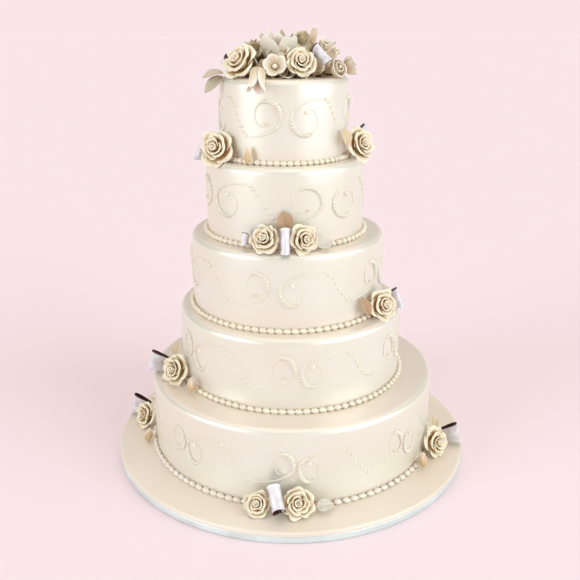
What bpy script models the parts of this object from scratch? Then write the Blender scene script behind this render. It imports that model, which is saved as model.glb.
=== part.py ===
"""A five-tier round celebration cake on its iced board.

Each tier is one solid with its piped scrolls. A ring of piped beads runs round the foot of
every tier, sugar roses with ribbon loops and leaves sit on the ledges, and a bunch of sugar
flowers covers the top. Metres, +Z up, origin at the middle of the board's underside. The
front faces -Y.
"""
from math import cos, pi, radians, sin

import bmesh
import bpy
from mathutils import Quaternion, Vector

MM = 0.001
GAP = 0.3 * MM
WELD = 0.01 * MM

# Board: a round drum with a slab of icing on it
BOARD_RADIUS = 254 * MM
BOARD_THICKNESS = 10 * MM
BOARD_ICING = 5.6 * MM
BOARD_ROUND = 4 * MM
BOARD_SIDES = 48

# Tiers from the bottom up. Drift is how far a tier's middle stands off the board's along X.
TIER_RADIUS = [radius * MM for radius in (201, 155, 131.3, 105.2, 83.4)]
TIER_HEIGHT = [height * MM for height in (108.5, 100.5, 102, 100.5, 101)]
TIER_DRIFT = [drift * MM for drift in (0.7, -0.9, -5.3, -8.3, -9.7)]
TIER_SIDES = (40, 40, 36, 32, 32)
TIER_ROUND = 12 * MM
ROUND_STEPS = 3

# Bead borders: beads in each ring, the size of one bead and the share of it left between two
BEADS = (108, 95, 82, 73, 65)
BEAD = 7 * MM
BEAD_NECK = 0.5

# Piped scrolls: how many go round each tier, where the first one starts in degrees, and the
# share of its pitch that each one covers
SCROLLS = (8, 6, 5, 4, 4)
SCROLL_START = (2.5, 5.1, -3.9, 35, 7)
SCROLL_SPAN = (0.96, 0.95, 0.91, 0.9, 0.9)
SCROLL_MIDDLE = 56 * MM
SCROLL_HALF_HEIGHT = 23 * MM
SCROLL_WIDTH = 4.4 * MM
SCROLL_RISE = 1.9 * MM
SCROLL_SINK = 1.2 * MM
SCROLL_THIN = 0.6

# A scroll's arch and curled head: reach as a share of its length, and how the curl winds in
ARCH_REACH = 0.35
HEAD_REACH = (0.094, 0.1, 0.11, 0.15, 0.165)
HEAD_TURN = 1.25
HEAD_SHRINK = 0.68
MIDDLE_STEPS = 1
ARCH_STEPS = 2
HEAD_STEPS = 3

# Turned outlines: distance from the axis and height, as shares, from the base to the crown
ROSE = ((0, 0), (0.36, 0.05), (0.82, 0.3), (1, 0.62), (0.72, 0.6), (0.62, 0.88), (0.4, 0.78),
        (0.26, 1), (0, 0.9))
BLOSSOM = ((0, 0), (0.3, 0.06), (0.76, 0.4), (1, 0.85), (0.6, 0.62), (0.3, 0.4), (0.26, 0.72), (0, 0.82))
STALKED = ((0, 0), (0.34, 0.01), (0.42, 0.4), (0.78, 0.68), (1, 1), (0.6, 0.84), (0.2, 0.68), (0, 0.72))
BUD = ((0, 0), (0.72, 0.2), (1, 0.5), (0.55, 0.82), (0, 1))
PETAL_SIDES = 8
BUD_SIDES = 6

# How far a rim waves in and out, as a share of its radius
ROSE_RUFFLE = 0.09
BLOSSOM_RUFFLE = 0.16
BUD_RUFFLE = 0.1
CURL_RUFFLE = 0.2

# A ledge rose's depth for its radius, and how far up that depth its head's middle lies
ROSE_DEPTH = 1.15
HEAD_SHARE = 0.6

# Roses on the ledges: tier at whose foot they lie, azimuth, out from its wall, up, radius,
# azimuth that the flower faces, tilt
LEDGE_ROSES = {
    "rose_5_left": (5, -56, 20, 17.5, 20.5, -38, 20),
    "rose_5_right": (5, 75, 21, 18.5, 18, 62, 20),
    "rose_4_left": (4, -12, 18, 18, 17, -16, 30),
    "rose_4_right": (4, 11.5, 18, 17, 17, 24, 15),
    "rose_3_right": (3, 58, 19, 18, 18, 38, 22),
    "rose_2_left": (2, -67, 20, 18.5, 18, -45, 22),
    "rose_1_left": (1, -90, 22, 18.5, 18, -66, 22),
    "rose_1_front_left": (1, -11.2, 22, 16, 15.5, -14, 40),
    "rose_1_front_right": (1, 2, 20, 19, 18, 4, 35),
    "rose_1_right": (1, 68.5, 19, 19.5, 18, 74, 18),
    "rose_1_back": (1, 165, 20, 19, 18, 165, 30),
}

# Ribbon loops: half the gap in a loop and half its width, each at the root and what the bend adds
RIBBON_THICKNESS = 0.9 * MM
RIBBON_HALF_GAP = 6.5 * MM
RIBBON_STATIONS = 10
GAP_AT_ROOT, GAP_GAIN = 0.5, 0.6
WIDTH_AT_ROOT, WIDTH_GAIN = 0.3, 0.2

# Loops on the ledges: tier, azimuth, out, up, length, width, tilt, lean
LEDGE_RIBBONS = {
    "ribbon_5_left": (5, -73.5, 24, 9.5, 16, 31, 26, 0),
    "ribbon_5_right": (5, 95, 20, 20, 22, 31, 26, 0),
    "ribbon_4_front": (4, 0.3, 20, 15, 20, 33, 20, 0),
    "ribbon_4_end": (4, -24.5, 12, 13, 12, 16, 20, 0),
    "ribbon_3_right": (3, 71, 20, 14.5, 20, 30, 22, 0),
    "ribbon_2_left": (2, -79, 35, 15.5, 27, 31, 18, 0),
    "ribbon_1_left": (1, -98.5, 35, 17, 28, 31, 16, 0),
    "ribbon_1_front": (1, -5.2, 21, 21, 22, 38, 38, 14),
    "ribbon_1_right": (1, 77.5, 33, 17, 26, 30, 16, 0),
}

# Leaves: outline along the length, fold along the rib and curl of the tip
LEAF_THICKNESS = 1.2 * MM
LEAF_CELLS = (2, 4)
LEAF_NARROWEST = 0.18
LEAF_SPAN = (0.12, 0.8)
LEAF_FULLNESS = 0.8
LEAF_FOLD = 0.16
LEAF_CURL = 0.22
LEAF_CURL_FROM = 0.4

# Leaves on the ledges: tier, azimuth, out, up, length, width, azimuth that the face looks to,
# tilt, roll
LEDGE_LEAVES = {
    "leaf_5_right": (5, 57, 10, 30, 22, 15, 40, 10, 10),
    "leaf_4_front": (4, 0, 7, 38, 22, 20, 0, 0, 0),
    "leaf_4_right": (4, 24.5, 15, 8, 24, 16, 24.5, 55, -80),
    "leaf_3_right": (3, 46.5, 9, 22, 26, 14, 36, 15, 12),
    "leaf_2_left": (2, -79.5, 10, 31, 20, 14, -55, 10, 0),
    "leaf_1_left": (1, -97.5, 10, 33, 22, 14, -75, 10, 0),
    "leaf_1_front": (1, 11, 15, 9, 24, 16, 11, 65, -80),
    "leaf_1_right": (1, 77.5, 10, 30, 20, 17, 55, 10, 0),
}

# Closed buds: tier, azimuth, out, up, radius, length, tilt
LEDGE_BUDS = {
    "bud_5_left": (5, -28.5, 12, 3, 4.5, 20, 108),
    "bud_2_left": (2, -52.5, 14, 2, 5.5, 22, 100),
    "bud_1_left": (1, -77.5, 14, 1, 5.5, 22, 100),
    "bud_1_right": (1, 57, 14, 3, 6, 22, 98),
}

# Top bunch: outline, x and y from the tier's middle, base height, radius, length, azimuth, tilt
TOP_FLOWERS = {
    "top_rose_left": (ROSE, -48, -35, 12, 22, 23, -42, 35),
    "top_rose_front": (ROSE, 20, -43, 15, 16.5, 20, 10, 25),
    "top_rose_back": (ROSE, -24, 38, 10, 20, 22, 200, 45),
    "top_rose_back_right": (ROSE, 30, 38, 10, 19, 21, 150, 45),
    "top_blossom_front": (BLOSSOM, -10, -48, 11.5, 13.5, 15, -4, 25),
    "top_blossom_right": (BLOSSOM, 61, -31, 7, 11, 15, 45, 25),
    "top_blossom_edge": (BLOSSOM, 76, -8, 9, 12, 17, 80, 20),
    "top_bell": (BLOSSOM, -29, -80.5, 14.5, 10.5, 30, -20, -66),
    "top_magnolia": (STALKED, -8, -8, 1, 22.5, 55, 0, 88),
    "top_bloom_left": (STALKED, -36, 10, 1, 14, 42, -60, 84),
    "top_bloom_middle": (STALKED, 25, 8, 1, 14, 54, 0, 90),
    "top_bloom_right": (STALKED, 53, 9, 1, 15, 44, 60, 86),
}

# Loops, leaf and curl of the top bunch: x and y from the tier's middle, height, sizes, azimuth,
# tilt, and for loops the lean, for the leaf the roll
TOP_RIBBONS = {
    "top_ribbon_left": (-68, -10, 17, 20, 19, -80, 25, 0),
    "top_ribbon_right": (45, -38, 24, 21, 28, 25, 40, 28),
}
TOP_LEAF = (-86, -30, -6, 30, 24, -70, 50, 150)
TOP_CURL = (37, -14, 40, 5, 24, 30, 84)

# Base colour and roughness
SUGAR_IVORY = ((0.86, 0.79, 0.66), 0.42)
SUGAR_BEIGE = ((0.80, 0.71, 0.56), 0.5)
SATIN_GREY = ((0.74, 0.70, 0.72), 0.35)
LEAF_TAN = ((0.72, 0.58, 0.40), 0.5)
BOARD_SILVER = ((0.82, 0.82, 0.82), 0.3)


def make_material(name, finish):
    """A plain Principled material of one colour and roughness."""
    colour, roughness = finish
    material = bpy.data.materials.new(name)
    material.use_nodes = True
    shader = material.node_tree.nodes["Principled BSDF"]
    shader.inputs["Base Color"].default_value = (*colour, 1)
    shader.inputs["Roughness"].default_value = roughness
    shader.inputs["Metallic"].default_value = 0
    return material


def make_object(name, bm, collection, finish=SUGAR_IVORY):
    """An object in its collection from a bmesh, with a material of its own."""
    mesh = bpy.data.meshes.new(name)
    bm.to_mesh(mesh)
    bm.free()
    piece = bpy.data.objects.new(name, mesh)
    mesh.materials.append(make_material(name, finish))
    mesh.shade_smooth()
    collection.objects.link(piece)
    return piece


def tier_foot(number):
    """Height of the surface that a tier stands on, counted from the board up."""
    return BOARD_THICKNESS + BOARD_ICING + GAP + sum(TIER_HEIGHT[:number - 1])


def beside_tier(number, azimuth, out, up):
    """A point beside a tier: degrees from the front towards +X, out from its wall, up from its foot."""
    reach = TIER_RADIUS[number - 1] + out * MM
    angle = radians(azimuth)
    x = TIER_DRIFT[number - 1] + reach * sin(angle)
    return Vector((x, -reach * cos(angle), tier_foot(number) + up * MM))


def aim(azimuth, tilt):
    """Unit vector out of the cake at an azimuth and a tilt above the horizontal, in degrees."""
    turn, rise = radians(azimuth), radians(tilt)
    return Vector((sin(turn) * cos(rise), -cos(turn) * cos(rise), sin(rise)))


def face(piece, location, direction, roll=0):
    """Put a piece's origin at a point with its local Z along a direction and local Y upwards."""
    piece.location = location
    piece.rotation_mode = "QUATERNION"
    upright = direction.to_track_quat("Z", "Y")
    piece.rotation_quaternion = upright @ Quaternion((0, 0, 1), radians(roll))


def turned(name, outline, sides, collection, finish):
    """A turned solid from its half outline, given from the top down as distance and height."""
    bm = bmesh.new()
    points = [bm.verts.new((reach, 0, height)) for reach, height in outline]
    for upper, lower in zip(points, points[1:]):
        bm.edges.new((upper, lower))
    piece = make_object(name, bm, collection, finish)
    screw = piece.modifiers.new("Turn", "SCREW")
    screw.steps = sides
    screw.render_steps = sides
    screw.use_merge_vertices = True
    screw.merge_threshold = WELD
    return piece


def rounded_outline(radius, height, rounding, steps, foot):
    """Half outline of a round slab with a rounded top edge, from the top down."""
    outline = [(0, foot + height)]
    for step in range(steps + 1):
        angle = pi / 2 * step / steps
        outline.append((radius - rounding + rounding * sin(angle),
                        foot + height - rounding + rounding * cos(angle)))
    return outline + [(radius, foot), (0, foot)]


def make_board(collection):
    """The drum, and the slab of icing on it with a softened edge."""
    drum_top = BOARD_THICKNESS - GAP
    drum = [(0, drum_top), (BOARD_RADIUS, drum_top), (BOARD_RADIUS, 0), (0, 0)]
    turned("board", drum, BOARD_SIDES, collection, BOARD_SILVER)
    icing = rounded_outline(BOARD_RADIUS, BOARD_ICING, BOARD_ROUND, 1, BOARD_THICKNESS)
    turned("board_icing", icing, BOARD_SIDES, collection, SUGAR_BEIGE)


def scroll_half(length, head):
    """Left half of a scroll as (along, up) pairs, from its middle over the arch into the curl."""
    half = SCROLL_HALF_HEIGHT
    arch = ARCH_REACH * length
    path = []
    for step in range(MIDDLE_STEPS):
        share = 0.5 + 0.5 * step / MIDDLE_STEPS
        path.append((length - arch - (length - 2 * arch) * share, -half * cos(pi * share)))
    for step in range(ARCH_STEPS + 1):
        angle = pi / 2 * (1 + step / ARCH_STEPS)
        path.append((arch + arch * cos(angle), half * sin(angle)))
    for step in range(1, HEAD_STEPS + 1):
        share = step / HEAD_STEPS
        angle = pi * (1 + HEAD_TURN * share)
        shrink = 1 - HEAD_SHRINK * share ** 2
        path.append((head + head * shrink * cos(angle), half * shrink * sin(angle)))
    return path


def scroll_path(length, head):
    """Whole S scroll: the left half, and the same half turned about the scroll's middle."""
    left = scroll_half(length, head)
    right = [(length - along, -up) for along, up in left[1:]]
    return list(reversed(right)) + left


def flat_scroll(length, head):
    """A piped scroll laid flat, as a closed mesh: X along, Y up, Z off the wall."""
    rib = bpy.data.curves.new("rib", "CURVE")
    rib.dimensions = "2D"
    edge = rib.splines.new("POLY")
    edge.points.add(2)
    edge.use_cyclic_u = True
    corners = ((-SCROLL_WIDTH / 2, -SCROLL_SINK), (0, SCROLL_RISE), (SCROLL_WIDTH / 2, -SCROLL_SINK))
    for point, corner in zip(edge.points, corners):
        point.co = (*corner, 0, 1)
    rib_guide = bpy.data.objects.new("rib", rib)
    curve = bpy.data.curves.new("scroll", "CURVE")
    curve.dimensions = "3D"
    curve.twist_mode = "Z_UP"
    curve.bevel_mode = "OBJECT"
    curve.bevel_object = rib_guide
    curve.use_fill_caps = True
    path = scroll_path(length, head)
    line = curve.splines.new("POLY")
    line.points.add(len(path) - 1)
    for index, (point, (along, up)) in enumerate(zip(line.points, path)):
        from_middle = abs(2 * index / (len(path) - 1) - 1)
        point.co = (along, up, 0, 1)
        point.radius = SCROLL_THIN + (1 - SCROLL_THIN) * sin(pi * from_middle)
    guide = bpy.data.objects.new("scroll", curve)
    bpy.context.scene.collection.objects.link(guide)
    bpy.context.view_layer.update()
    mesh = bpy.data.meshes.new_from_object(guide.evaluated_get(bpy.context.evaluated_depsgraph_get()))
    bpy.data.objects.remove(guide)
    bpy.data.objects.remove(rib_guide)
    bm = bmesh.new()
    bm.from_mesh(mesh)
    bmesh.ops.remove_doubles(bm, verts=bm.verts, dist=WELD)
    bmesh.ops.recalc_face_normals(bm, faces=bm.faces)
    bm.to_mesh(mesh)
    bm.free()
    return mesh


def wrap_scroll(flat, number, start, collection):
    """A copy of the flat scroll, bent round a tier's wall from an angle on and half sunk in it."""
    radius = TIER_RADIUS[number - 1]
    mesh = flat.copy()
    for vert in mesh.vertices:
        along, up, off = vert.co
        angle = start + along / radius
        reach = radius + off
        vert.co = (TIER_DRIFT[number - 1] + reach * sin(angle), -reach * cos(angle),
                   tier_foot(number) + SCROLL_MIDDLE + up)
    collection.objects.link(bpy.data.objects.new("scroll", mesh))


def fuse(piece, collection):
    """Join everything in a collection to a piece, then remove the collection's objects."""
    union = piece.modifiers.new("Fuse", "BOOLEAN")
    union.operation = "UNION"
    union.operand_type = "COLLECTION"
    union.collection = collection
    bpy.context.view_layer.update()
    evaluated = piece.evaluated_get(bpy.context.evaluated_depsgraph_get())
    mesh = bpy.data.meshes.new_from_object(evaluated)
    piece.modifiers.clear()
    piece.data = mesh
    for joined in list(collection.objects):
        bpy.data.objects.remove(joined)
    bpy.data.collections.remove(collection)


def make_tier(number, collection):
    """One tier: a rounded slab with its piped scrolls fused to the wall."""
    index = number - 1
    foot = tier_foot(number)
    outline = rounded_outline(TIER_RADIUS[index], TIER_HEIGHT[index] - GAP, TIER_ROUND, ROUND_STEPS, foot)
    tier = turned(f"tier_{number}", outline, TIER_SIDES[index], collection, SUGAR_IVORY)
    tier.location.x = TIER_DRIFT[index]
    piping = bpy.data.collections.new(f"piping_{number}")
    bpy.context.scene.collection.children.link(piping)
    pitch = 2 * pi / SCROLLS[index]
    length = pitch * TIER_RADIUS[index] * SCROLL_SPAN[index]
    flat = flat_scroll(length, HEAD_REACH[index] * length)
    for turn in range(SCROLLS[index]):
        wrap_scroll(flat, number, radians(SCROLL_START[index]) + pitch * turn, piping)
    fuse(tier, piping)


def make_border(number, collection):
    """Ring of piped beads round a tier's foot: a closed ring that swells at every bead."""
    index = number - 1
    inner = TIER_RADIUS[index] + 2 * GAP
    foot = tier_foot(number) + GAP
    section = ((inner, foot), (inner + BEAD, foot), (inner + BEAD / 2, foot + BEAD))
    core = Vector((inner + BEAD / 2, 0, foot + BEAD / 3))
    bm = bmesh.new()
    corners = [bm.verts.new((reach, 0, height)) for reach, height in section]
    edges = [bm.edges.new((corners[side], corners[(side + 1) % 3])) for side in range(3)]
    steps = 2 * BEADS[index]
    bmesh.ops.spin(bm, geom=corners + edges, cent=(0, 0, 0), axis=(0, 0, 1), angle=2 * pi,
                   steps=steps, use_merge=True)
    bmesh.ops.remove_doubles(bm, verts=bm.verts, dist=WELD)
    step_angle = 2 * pi / steps
    for vert in bm.verts:
        flat = Vector((vert.co.x, vert.co.y, 0))
        angle = flat.to_2d().angle_signed(Vector((1, 0)))
        if round(angle / step_angle) % 2:
            middle = flat.normalized() * core.x
            middle.z = core.z
            vert.co = middle + (vert.co - middle) * BEAD_NECK
    bmesh.ops.recalc_face_normals(bm, faces=bm.faces)
    border = make_object(f"border_{number}", bm, collection)
    border.location.x = TIER_DRIFT[index]


def make_flower(name, outline, radius, height, sides, ruffle, collection, finish=SUGAR_BEIGE):
    """A closed flower: a sphere drawn to an outline, whose rims wave in and out as petals."""
    rings = len(outline) - 1
    bm = bmesh.new()
    bmesh.ops.create_uvsphere(bm, u_segments=sides, v_segments=rings, radius=1)
    for vert in bm.verts:
        polar = vert.co.angle(Vector((0, 0, -1)))
        ring = round(polar / pi * rings)
        reach, rise = outline[ring]
        flat = vert.co.to_2d()
        if reach == 0:
            vert.co = (0, 0, rise * height)
            continue
        turn = round(flat.angle_signed(Vector((1, 0))) / (2 * pi / sides))
        wave = 1 if (turn + ring // 2) % 2 else -1
        petal = 1 + ruffle * wave * reach
        vert.co = (*(flat.normalized() * reach * radius * petal), (rise - ruffle * wave * reach / 3) * height)
    return make_object(name, bm, collection, finish)


def make_ribbon(name, length, width, collection):
    """A ribbon loop: a teardrop band, pinched at its root and full width at its bend."""
    bm = bmesh.new()
    lower = []
    for station in range(RIBBON_STATIONS):
        angle = 2 * pi * station / RIBBON_STATIONS
        along = (1 - cos(angle)) / 2
        bulge = RIBBON_HALF_GAP * sin(angle) * (GAP_AT_ROOT + GAP_GAIN * along)
        half = width * (WIDTH_AT_ROOT + WIDTH_GAIN * along)
        lower.append(bm.verts.new((bulge, (along - 0.5) * length, -half)))
    edges = [bm.edges.new((lower[i], lower[(i + 1) % RIBBON_STATIONS])) for i in range(RIBBON_STATIONS)]
    band = bmesh.ops.extrude_edge_only(bm, edges=edges)["geom"]
    for vert in band:
        if isinstance(vert, bmesh.types.BMVert):
            vert.co.z = -vert.co.z
    bmesh.ops.recalc_face_normals(bm, faces=bm.faces)
    ribbon = make_object(name, bm, collection, SATIN_GREY)
    shell = ribbon.modifiers.new("Thickness", "SOLIDIFY")
    shell.thickness = RIBBON_THICKNESS
    return ribbon


def make_leaf(name, length, width, collection, lobes=1):
    """A thin leaf folded along its rib and curled back at its tip, its two faces split alike."""
    across, along = LEAF_CELLS
    start, span = LEAF_SPAN
    bm = bmesh.new()
    bmesh.ops.create_grid(bm, x_segments=across, y_segments=along, size=0.5)
    for vert in bm.verts:
        side, share = vert.co.x * 2, vert.co.y + 0.5
        swell = abs(sin(pi * (start + span * share) * lobes)) ** LEAF_FULLNESS
        breadth = LEAF_NARROWEST + (1 - LEAF_NARROWEST) * swell
        fold = LEAF_FOLD * abs(side) * width * breadth
        curl = -LEAF_CURL * length * (share - LEAF_CURL_FROM) ** 2
        vert.co = (side * width / 2 * breadth, (share - 0.5) * length, fold + curl)
    bmesh.ops.triangulate(bm, faces=bm.faces)
    leaf = make_object(name, bm, collection, LEAF_TAN)
    shell = leaf.modifiers.new("Thickness", "SOLIDIFY")
    shell.thickness = LEAF_THICKNESS
    shell.offset = 0
    return leaf


def stand_ribbon(piece, location, azimuth, tilt, lean):
    """Point a loop's bend out of the cake, its width upright and leaning sideways by some degrees."""
    outward = aim(azimuth, tilt)
    upward = aim(azimuth, tilt + 90)
    upward.rotate(Quaternion(outward, radians(lean)))
    turn = Quaternion().to_matrix()
    for column, axis in enumerate((outward.cross(upward), outward, upward)):
        turn.col[column] = axis
    piece.location = location
    piece.rotation_mode = "QUATERNION"
    piece.rotation_quaternion = turn.to_quaternion()


def make_ledge_pieces(collection):
    """Roses, ribbon loops, leaves and buds that lie round the feet of the tiers."""
    for name, (number, azimuth, out, up, radius, faced, tilt) in LEDGE_ROSES.items():
        depth = ROSE_DEPTH * radius * MM
        rose = make_flower(name, ROSE, radius * MM, depth, PETAL_SIDES, ROSE_RUFFLE, collection)
        direction = aim(faced, tilt)
        head = beside_tier(number, azimuth, out, up)
        face(rose, head - direction * depth * HEAD_SHARE, direction)
    for name, (number, azimuth, out, up, length, width, tilt, lean) in LEDGE_RIBBONS.items():
        ribbon = make_ribbon(name, length * MM, width * MM, collection)
        stand_ribbon(ribbon, beside_tier(number, azimuth, out, up), azimuth, tilt, lean)
    for name, (number, azimuth, out, up, length, width, faced, tilt, roll) in LEDGE_LEAVES.items():
        leaf = make_leaf(name, length * MM, width * MM, collection)
        face(leaf, beside_tier(number, azimuth, out, up), aim(faced, tilt), roll)
    for name, (number, azimuth, out, up, radius, length, tilt) in LEDGE_BUDS.items():
        bud = make_flower(name, BUD, radius * MM, length * MM, BUD_SIDES, BUD_RUFFLE, collection, LEAF_TAN)
        face(bud, beside_tier(number, azimuth, out, up), aim(azimuth, tilt))


def on_top(x, y, up):
    """A point over the top tier, from the middle of its top face, in millimetres."""
    return Vector((TIER_DRIFT[-1] + x * MM, y * MM, tier_foot(6) + up * MM))


def make_top_bunch(collection):
    """The bunch of sugar flowers, ribbon loops and a leaf spray on the top tier."""
    for name, (outline, x, y, up, radius, length, azimuth, tilt) in TOP_FLOWERS.items():
        ruffle = ROSE_RUFFLE if outline is ROSE else BLOSSOM_RUFFLE
        flower = make_flower(name, outline, radius * MM, length * MM, PETAL_SIDES, ruffle, collection)
        face(flower, on_top(x, y, up), aim(azimuth, tilt))
    for name, (x, y, up, length, width, azimuth, tilt, lean) in TOP_RIBBONS.items():
        ribbon = make_ribbon(name, length * MM, width * MM, collection)
        stand_ribbon(ribbon, on_top(x, y, up), azimuth, tilt, lean)
    x, y, up, length, width, azimuth, tilt, roll = TOP_LEAF
    leaf = make_leaf("top_leaf", length * MM, width * MM, collection, lobes=2)
    face(leaf, on_top(x, y, up), aim(azimuth, tilt), roll)
    x, y, up, radius, length, azimuth, tilt = TOP_CURL
    curl = make_flower("top_curl", BUD, radius * MM, length * MM, BUD_SIDES, CURL_RUFFLE, collection)
    face(curl, on_top(x, y, up), aim(azimuth, tilt))


def main():
    """Clear the scene and build the whole cake in one collection."""
    for leftover in list(bpy.data.objects):
        bpy.data.objects.remove(leftover)
    cake = bpy.data.collections.new("tiered_cake")
    bpy.context.scene.collection.children.link(cake)
    make_board(cake)
    for number in range(1, len(TIER_RADIUS) + 1):
        make_tier(number, cake)
        make_border(number, cake)
    make_ledge_pieces(cake)
    make_top_bunch(cake)


main()
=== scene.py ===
"""Looks of a five-tier celebration cake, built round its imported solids."""

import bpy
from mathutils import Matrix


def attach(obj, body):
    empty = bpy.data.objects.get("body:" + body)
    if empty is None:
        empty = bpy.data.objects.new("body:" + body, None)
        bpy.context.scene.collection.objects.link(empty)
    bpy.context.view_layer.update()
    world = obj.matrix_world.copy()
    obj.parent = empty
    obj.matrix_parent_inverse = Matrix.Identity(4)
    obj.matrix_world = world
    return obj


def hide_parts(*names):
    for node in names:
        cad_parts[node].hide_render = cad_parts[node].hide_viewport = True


bl_info = {
    "name": "Tiered cake",
    "version": (1, 0, 0),
    "blender": (4, 5, 0),
    "location": "3D View > Sidebar > Cake",
    "description": "Builds a round tiered cake with piping, sugar flowers and ribbon loops",
    "category": "Add Mesh",
}

from math import cos, pi, radians, sin

import bpy
import numpy as np
from mathutils import Matrix, Quaternion, Vector

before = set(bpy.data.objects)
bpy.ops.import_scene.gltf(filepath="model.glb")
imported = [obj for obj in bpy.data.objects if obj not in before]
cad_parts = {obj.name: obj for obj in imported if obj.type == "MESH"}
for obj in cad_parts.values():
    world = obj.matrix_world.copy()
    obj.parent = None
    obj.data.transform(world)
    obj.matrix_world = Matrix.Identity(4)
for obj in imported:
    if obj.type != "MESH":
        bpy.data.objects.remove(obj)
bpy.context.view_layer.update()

MM = 0.001
GAP = 0.3 * MM
move = Matrix.Translation

# Board and tiers, from the bottom up, as in the solids
BOARD_RADIUS = 254 * MM
BOARD_THICKNESS = 10 * MM
BOARD_ICING = 5.6 * MM
TIER_RADIUS = [radius * MM for radius in (201, 155, 131.3, 105.2, 83.4)]
TIER_HEIGHT = [height * MM for height in (108.5, 100.5, 102, 100.5, 101)]
TIER_DRIFT = [drift * MM for drift in (0.7, -0.9, -5.3, -8.3, -9.7)]
BEADS = (108, 95, 82, 73, 65)
ROUND_SIDES = 160
RIM_STEPS = 8
WALL_RINGS = 8

# Scrolls: how many go round a tier, where the first starts, share of its pitch that each covers,
# height of the middle, reach of the arch and of the head in shares of the length
SCROLLS = (8, 6, 5, 4, 4)
SCROLL_START = (2.5, 5.1, -3.9, 35, 7)
SCROLL_SPAN = (0.96, 0.95, 0.91, 0.9, 0.9)
SCROLL_MIDDLE = 56 * MM
SCROLL_HALF_HEIGHT = 23 * MM
ARCH_REACH = 0.35
HEAD_REACH = (0.094, 0.1, 0.11, 0.15, 0.165)

# A stroke: its steps, the curl's half turns, how far it draws in and its width along the curl
STROKE_STEPS = 9
CURL_TURNS, CURL_SHRINK, CURL_EASE = 1.62, 0.72, 1.7
CURL_SHARES = (0, 0.12, 0.3, 0.42, 0.6, 0.9, 1)
CURL_WIDTHS = (0.85, 1.2, 1.0, 0.4, 0.26, 0.34, 1.4)

# Feathered drops on a head, in shares of its line, and the dots between the heads
FEATHERED = slice(3, 19)
FEATHER_LEAN = 58
FEATHER_SIZE = (0.72, 0.3, 0.42)
DOTS = 8
DOT_RADIUS = 1.9 * MM

# Beads, in shares of a bead's height: out from the wall, up from the ledge and half sizes, then how
# far each runs into the next and the size of its tail
BEAD_OUT, BEAD_UP = 0.4, 0.35
BEAD_HALF_DEPTH, BEAD_HALF_HEIGHT = 0.5, 0.46
BEAD_OVERLAP = 1.1
BEAD_TAIL = (1.12, 0.72, 0.72)

# Roses: tier, azimuth, out from its wall, up from its foot, radius, azimuth faced, tilt, openness
ROSES = {
    "rose_5_left": (5, -56, 20, 17.5, 20.5, -26, 20, 1.06),
    "rose_5_right": (5, 75, 21, 18.5, 18, 44, 20, 1.16),
    "rose_4_left": (4, -12, 18, 18, 17, -16, 30, 1.0),
    "rose_4_right": (4, 11.5, 18, 17, 17, 24, 15, 1.0),
    "rose_3_right": (3, 58, 19, 18, 18, 32, 22, 1.05),
    "rose_2_left": (2, -67, 20, 18.5, 18, -34, 22, 1.12),
    "rose_1_left": (1, -90, 22, 18.5, 18, -48, 24, 1.0),
    "rose_1_front_left": (1, -11.2, 22, 16, 15.5, -14, 40, 1.0),
    "rose_1_front_right": (1, 2, 20, 19, 18, 4, 35, 1.0),
    "rose_1_right": (1, 68.5, 19, 19.5, 18, 40, 20, 1.14),
    "rose_1_back": (1, 165, 20, 19, 18, 165, 30, 1.0),
}
ROSE_DEPTH = 1.15
HEAD_SHARE = 0.6

# Loops on the ledges: tier, azimuth, out, up, length, width, tilt, lean
# They differ in how far they open, and the lower edge of the one named in SLANTED is cut back
SLANTED = "ribbon_1_front"
SLANT_CUT = 12 * MM
LEDGE_OPENING = 0.75
LOOP_OPENING = {"ribbon_1_front": 1.6, "ribbon_4_front": 1.05}
PLAIN_EDGED = ("ribbon_1_front", "ribbon_4_front")
RIBBONS = {
    "ribbon_5_left": (5, -73.5, 24, 9.5, 16, 31, 26, 0),
    "ribbon_5_right": (5, 95, 20, 20, 22, 31, 26, 0),
    "ribbon_4_front": (4, 0.3, 20, 15, 20, 33, 20, 0),
    "ribbon_4_end": (4, -24.5, 12, 13, 12, 16, 20, 0),
    "ribbon_3_right": (3, 71, 20, 14.5, 20, 30, 22, 0),
    "ribbon_2_left": (2, -79, 35, 15.5, 27, 31, 18, 0),
    "ribbon_1_left": (1, -98.5, 35, 17, 28, 31, 16, 0),
    "ribbon_1_front": (1, -4.8, 21, 20.5, 22, 43, 38, 16),
    "ribbon_1_right": (1, 77.5, 33, 17, 26, 30, 16, 0),
}

# Leaves on the ledges: tier, azimuth, out, up, length, width, azimuth faced, tilt, roll, finish
LEAVES = {
    "leaf_5_right": (5, 57, 10, 30, 22, 15, 40, 10, 10, "tan"),
    "leaf_4_front": (4, 0, 7, 38, 22, 20, 6, 8, 10, "brown"),
    "leaf_4_right": (4, 24.5, 15, 8, 24, 16, 24.5, 55, -80, "frost"),
    "leaf_3_right": (3, 46.5, 9, 22, 26, 14, 36, 15, 12, "brown"),
    "leaf_2_left": (2, -79.5, 10, 31, 20, 14, -55, 10, 0, "tan"),
    "leaf_1_left": (1, -97.5, 10, 33, 22, 14, -75, 10, 0, "brown"),
    "leaf_1_front": (1, 11, 15, 9, 24, 16, 11, 65, -80, "frost"),
    "leaf_1_right": (1, 77.5, 10, 30, 20, 17, 55, 10, 0, "tan"),
}

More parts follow.
